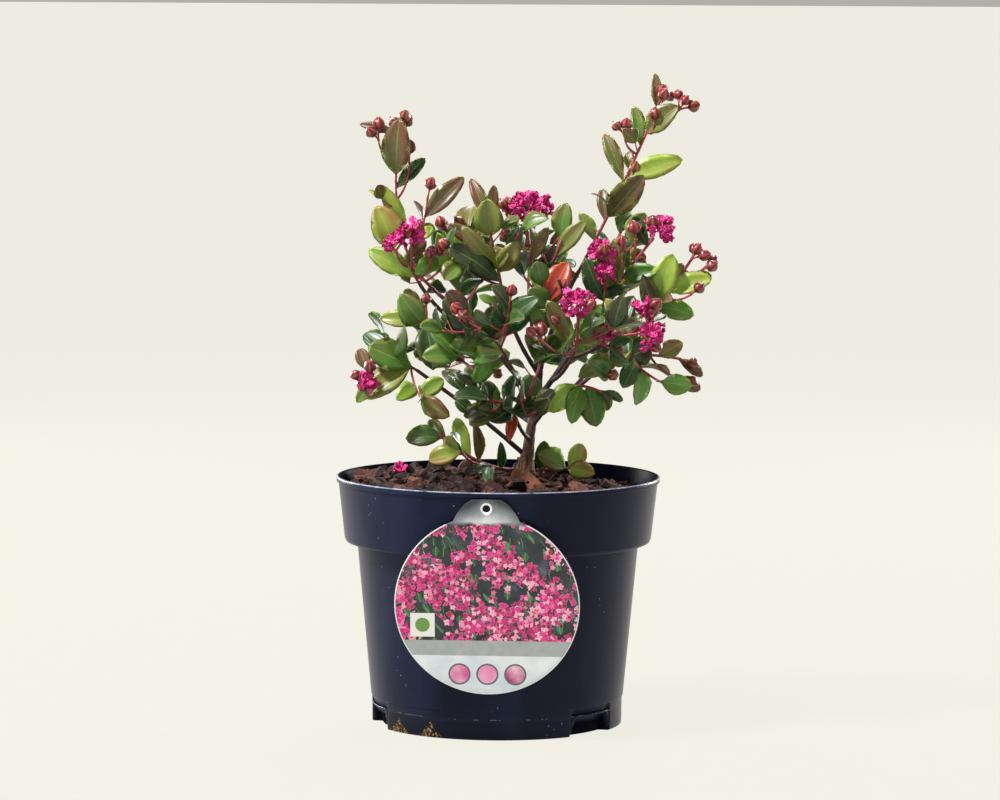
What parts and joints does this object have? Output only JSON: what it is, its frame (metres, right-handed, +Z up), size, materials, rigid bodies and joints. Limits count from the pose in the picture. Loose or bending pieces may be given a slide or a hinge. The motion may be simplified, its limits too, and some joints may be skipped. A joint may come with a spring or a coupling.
{
  "type": "potted crape myrtle shrub",
  "caption": "Young crape myrtle shrub with pink blossom and round buds, in a round dark nursery pot of bark mix with a plain round care label.",
  "frame": {"origin": "middle of the pot's flat underside", "axes": "+Z up; -Y towards the front, where the care label hangs; +X to the right seen from the front"},
  "size_m": [0.2223, 0.1913, 0.3814],
  "materials": {
    "pot_plastic": "semi-gloss moulded",
    "bark_mix": "rough chips",
    "label_card": "printed card",
    "bark": "bark",
    "foliage": "satin leaf"
  },
  "bodies": {
    "root": {"pot": "pot_plastic", "potting_mix": "bark_mix", "care_label": "label_card", "trunk": "bark", "bough_centre": "bark", "bough_left": "bark", "bough_right": "bark", "bough_left_low": "bark", "bough_right_low": "bark", "bough_left_outer": "bark", "bough_left_mid": "bark", "bough_centre_left": "bark", "bough_right_leader": "bark", "bough_right_outer": "bark", "bough_right_mid": "bark", "bough_right_under": "bark", "bough_front_left": "bark", "bough_front_right": "bark", "bough_front_low": "bark", "bough_back_left": "bark", "bough_back": "bark", "bough_back_right": "bark", "bough_back_low_left": "bark", "bough_back_low_right": "bark", "mass_left_leader": "foliage", "mass_left_outer": "foliage", "mass_left_mid": "foliage", "mass_left_low": "foliage", "mass_left_foot": "foliage", "mass_centre_left": "foliage", "mass_centre": "foliage", "mass_right_leader": "foliage", "mass_right_shoulder": "foliage", "mass_right_outer": "foliage", "mass_right_mid": "foliage", "mass_right_low": "foliage", "mass_right_under": "foliage", "mass_right_foot": "foliage", "mass_front_left": "foliage", "mass_front_right": "foliage", "mass_front_low": "foliage", "mass_back_left": "foliage", "mass_back": "foliage", "mass_back_right": "foliage", "mass_back_low_left": "foliage", "mass_back_low_right": "foliage"}
  },
  "joints": []
}
